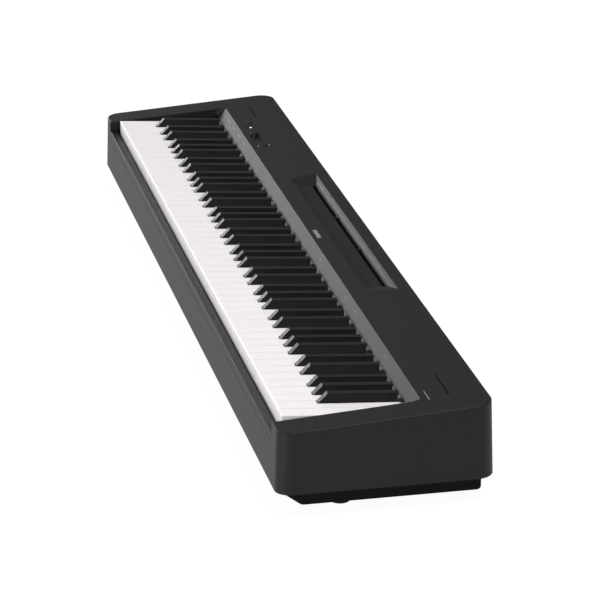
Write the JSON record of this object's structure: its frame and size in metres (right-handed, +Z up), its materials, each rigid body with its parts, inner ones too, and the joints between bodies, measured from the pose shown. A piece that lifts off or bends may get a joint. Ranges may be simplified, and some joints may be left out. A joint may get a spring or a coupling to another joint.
{
  "type": "digital piano",
  "caption": "Slim full-size digital piano: sloping slab case with rounded corners, hinged white and black keys over weighted levers, music rest channel, knob and push buttons.",
  "frame": {"origin": "under the middle of the case, on the surface the feet stand on", "axes": "+X along the keyboard towards the highest note, +Y from the player to the back, +Z up"},
  "size_m": [1.326, 0.268, 0.1314],
  "materials": {
    "case_shell": "fine matte texture",
    "rail_plastic": "fine matte texture",
    "base_plastic": "plain matte",
    "white_key": "satin, with a slightly matte playing surface",
    "black_key": "matte, fine grain",
    "hammer_steel": "plain stamped steel",
    "shaft_steel": "ground rod",
    "frame_plastic": "plain moulded",
    "felt": "felt strip",
    "circuit_board": "solder mask",
    "rubber": "matt rubber",
    "control_plastic": "matte cap",
    "lamp": "clear light guide",
    "socket_plastic": "moulded socket",
    "plated_metal": "plated",
    "speaker_metal": "painted pressing",
    "speaker_paper": "coated paper cone",
    "screw_steel": "blackened screw",
    "brass": "threaded insert"
  },
  "bodies": {
    "case": {"upper_case": "case_shell", "front_rail": "rail_plastic", "bottom_tray": "base_plastic", "action_frame": "frame_plastic", "key_guide_rail": "frame_plastic", "key_stop_felt": "felt", "hammer_rest_felt": "felt", "hammer_stop_rail": "shaft_steel", "hammer_stop_felt": "felt", "contact_board": "circuit_board", "contact_strip": "rubber", "key_pivot_shaft": "shaft_steel", "hammer_pivot_shaft": "shaft_steel", "volume_control": "plated_metal", "lamp_lens": "lamp", "panel_board": "circuit_board", "panel_switches": "socket_plastic", "main_board": "circuit_board", "socket_board": "circuit_board", "power_inlet": "socket_plastic", "power_inlet_pin": "plated_metal", "pedal_socket": "socket_plastic", "headphone_sockets": "socket_plastic", "usb_socket": "plated_metal", "speaker_frames": "speaker_metal", "speaker_cones": "speaker_paper", "speaker_magnets": "speaker_metal", "rubber_feet": "rubber", "stand_inserts": "brass", "case_screws": "screw_steel"},
    "white_keys_c": {"white_keys_c": "white_key"},
    "hammers_c": {"hammers_c": "hammer_steel"},
    "white_keys_d": {"white_keys_d": "white_key"},
    "hammers_d": {"hammers_d": "hammer_steel"},
    "white_keys_e": {"white_keys_e": "white_key"},
    "hammers_e": {"hammers_e": "hammer_steel"},
    "white_keys_f": {"white_keys_f": "white_key"},
    "hammers_f": {"hammers_f": "hammer_steel"},
    "white_keys_g": {"white_keys_g": "white_key"},
    "hammers_g": {"hammers_g": "hammer_steel"},
    "white_keys_a": {"white_keys_a": "white_key"},
    "hammers_a": {"hammers_a": "hammer_steel"},
    "white_keys_b": {"white_keys_b": "white_key"},
    "hammers_b": {"hammers_b": "hammer_steel"},
    "black_keys_c_sharp": {"black_keys_c_sharp": "black_key"},
    "hammers_c_sharp": {"hammers_c_sharp": "hammer_steel"},
    "black_keys_d_sharp": {"black_keys_d_sharp": "black_key"},
    "hammers_d_sharp": {"hammers_d_sharp": "hammer_steel"},
    "black_keys_f_sharp": {"black_keys_f_sharp": "black_key"},
    "hammers_f_sharp": {"hammers_f_sharp": "hammer_steel"},
    "black_keys_g_sharp": {"black_keys_g_sharp": "black_key"},
    "hammers_g_sharp": {"hammers_g_sharp": "hammer_steel"},
    "black_keys_a_sharp": {"black_keys_a_sharp": "black_key"},
    "hammers_a_sharp": {"hammers_a_sharp": "hammer_steel"},
    "power_button": {"power_button": "control_plastic"},
    "function_button": {"function_button": "control_plastic"},
    "volume_knob": {"volume_knob": "control_plastic", "volume_shaft": "shaft_steel"}
  },
  "joints": [
    {"name": "white_keys_c_pivot", "type": "hinge", "parent": "case", "child": "white_keys_c", "pos_m": [0, 0.06, 0.088], "axis": [1, 0, 0], "range_deg": [0, 3.2]},
    {"name": "hammers_c_pivot", "type": "hinge", "parent": "case", "child": "hammers_c", "pos_m": [0, -0.033, 0.05], "axis": [1, 0, 0], "range_deg": [0, 15]},
    {"name": "white_keys_d_pivot", "type": "hinge", "parent": "case", "child": "white_keys_d", "pos_m": [0, 0.06, 0.088], "axis": [1, 0, 0], "range_deg": [0, 3.2]},
    {"name": "hammers_d_pivot", "type": "hinge", "parent": "case", "child": "hammers_d", "pos_m": [0, -0.033, 0.05], "axis": [1, 0, 0], "range_deg": [0, 15]},
    {"name": "white_keys_e_pivot", "type": "hinge", "parent": "case", "child": "white_keys_e", "pos_m": [0, 0.06, 0.088], "axis": [1, 0, 0], "range_deg": [0, 3.2]},
    {"name": "hammers_e_pivot", "type": "hinge", "parent": "case", "child": "hammers_e", "pos_m": [0, -0.033, 0.05], "axis": [1, 0, 0], "range_deg": [0, 15]},
    {"name": "white_keys_f_pivot", "type": "hinge", "parent": "case", "child": "white_keys_f", "pos_m": [0, 0.06, 0.088], "axis": [1, 0, 0], "range_deg": [0, 3.2]},
    {"name": "hammers_f_pivot", "type": "hinge", "parent": "case", "child": "hammers_f", "pos_m": [0, -0.033, 0.05], "axis": [1, 0, 0], "range_deg": [0, 15]},
    {"name": "white_keys_g_pivot", "type": "hinge", "parent": "case", "child": "white_keys_g", "pos_m": [0, 0.06, 0.088], "axis": [1, 0, 0], "range_deg": [0, 3.2]},
    {"name": "hammers_g_pivot", "type": "hinge", "parent": "case", "child": "hammers_g", "pos_m": [0, -0.033, 0.05], "axis": [1, 0, 0], "range_deg": [0, 15]},
    {"name": "white_keys_a_pivot", "type": "hinge", "parent": "case", "child": "white_keys_a", "pos_m": [0, 0.06, 0.088], "axis": [1, 0, 0], "range_deg": [0, 3.2]},
    {"name": "hammers_a_pivot", "type": "hinge", "parent": "case", "child": "hammers_a", "pos_m": [0, -0.033, 0.05], "axis": [1, 0, 0], "range_deg": [0, 15]},
    {"name": "white_keys_b_pivot", "type": "hinge", "parent": "case", "child": "white_keys_b", "pos_m": [0, 0.06, 0.088], "axis": [1, 0, 0], "range_deg": [0, 3.2]},
    {"name": "hammers_b_pivot", "type": "hinge", "parent": "case", "child": "hammers_b", "pos_m": [0, -0.033, 0.05], "axis": [1, 0, 0], "range_deg": [0, 15]},
    {"name": "black_keys_c_sharp_pivot", "type": "hinge", "parent": "case", "child": "black_keys_c_sharp", "pos_m": [0, 0.06, 0.088], "axis": [1, 0, 0], "range_deg": [0, 3.2]},
    {"name": "hammers_c_sharp_pivot", "type": "hinge", "parent": "case", "child": "hammers_c_sharp", "pos_m": [0, -0.033, 0.05], "axis": [1, 0, 0], "range_deg": [0, 15]},
    {"name": "black_keys_d_sharp_pivot", "type": "hinge", "parent": "case", "child": "black_keys_d_sharp", "pos_m": [0, 0.06, 0.088], "axis": [1, 0, 0], "range_deg": [0, 3.2]},
    {"name": "hammers_d_sharp_pivot", "type": "hinge", "parent": "case", "child": "hammers_d_sharp", "pos_m": [0, -0.033, 0.05], "axis": [1, 0, 0], "range_deg": [0, 15]},
    {"name": "black_keys_f_sharp_pivot", "type": "hinge", "parent": "case", "child": "black_keys_f_sharp", "pos_m": [0, 0.06, 0.088], "axis": [1, 0, 0], "range_deg": [0, 3.2]},
    {"name": "hammers_f_sharp_pivot", "type": "hinge", "parent": "case", "child": "hammers_f_sharp", "pos_m": [0, -0.033, 0.05], "axis": [1, 0, 0], "range_deg": [0, 15]},
    {"name": "black_keys_g_sharp_pivot", "type": "hinge", "parent": "case", "child": "black_keys_g_sharp", "pos_m": [0, 0.06, 0.088], "axis": [1, 0, 0], "range_deg": [0, 3.2]},
    {"name": "hammers_g_sharp_pivot", "type": "hinge", "parent": "case", "child": "hammers_g_sharp", "pos_m": [0, -0.033, 0.05], "axis": [1, 0, 0], "range_deg": [0, 15]},
    {"name": "black_keys_a_sharp_pivot", "type": "hinge", "parent": "case", "child": "black_keys_a_sharp", "pos_m": [0, 0.06, 0.088], "axis": [1, 0, 0], "range_deg": [0, 3.2]},
    {"name": "hammers_a_sharp_pivot", "type": "hinge", "parent": "case", "child": "hammers_a_sharp", "pos_m": [0, -0.033, 0.05], "axis": [1, 0, 0], "range_deg": [0, 15]},
    {"name": "power_button_press", "type": "slide", "parent": "case", "child": "power_button", "axis": [0, 0.0669, -0.9978], "range_m": [0, 0.0007], "stiffness_N_per_m": 400, "springref_m": -0.002},
    {"name": "function_button_press", "type": "slide", "parent": "case", "child": "function_button", "axis": [0, 0.0669, -0.9978], "range_m": [0, 0.0007], "stiffness_N_per_m": 400, "springref_m": -0.002},
    {"name": "volume_knob_turn", "type": "hinge", "parent": "case", "child": "volume_knob", "pos_m": [-0.4555, 0.0638, 0.1243], "axis": [0, -0.0669, 0.9978], "range_deg": [-150, 150]}
  ],
  "couplings": [
    {"joint": "hammers_c_pivot", "follows": "white_keys_c_pivot", "ratio": 4.56},
    {"joint": "hammers_d_pivot", "follows": "white_keys_d_pivot", "ratio": 4.56},
    {"joint": "hammers_e_pivot", "follows": "white_keys_e_pivot", "ratio": 4.56},
    {"joint": "hammers_f_pivot", "follows": "white_keys_f_pivot", "ratio": 4.56},
    {"joint": "hammers_g_pivot", "follows": "white_keys_g_pivot", "ratio": 4.56},
    {"joint": "hammers_a_pivot", "follows": "white_keys_a_pivot", "ratio": 4.56},
    {"joint": "hammers_b_pivot", "follows": "white_keys_b_pivot", "ratio": 4.56},
    {"joint": "hammers_c_sharp_pivot", "follows": "black_keys_c_sharp_pivot", "ratio": 4.56},
    {"joint": "hammers_d_sharp_pivot", "follows": "black_keys_d_sharp_pivot", "ratio": 4.56},
    {"joint": "hammers_f_sharp_pivot", "follows": "black_keys_f_sharp_pivot", "ratio": 4.56},
    {"joint": "hammers_g_sharp_pivot", "follows": "black_keys_g_sharp_pivot", "ratio": 4.56},
    {"joint": "hammers_a_sharp_pivot", "follows": "black_keys_a_sharp_pivot", "ratio": 4.56}
  ]
}
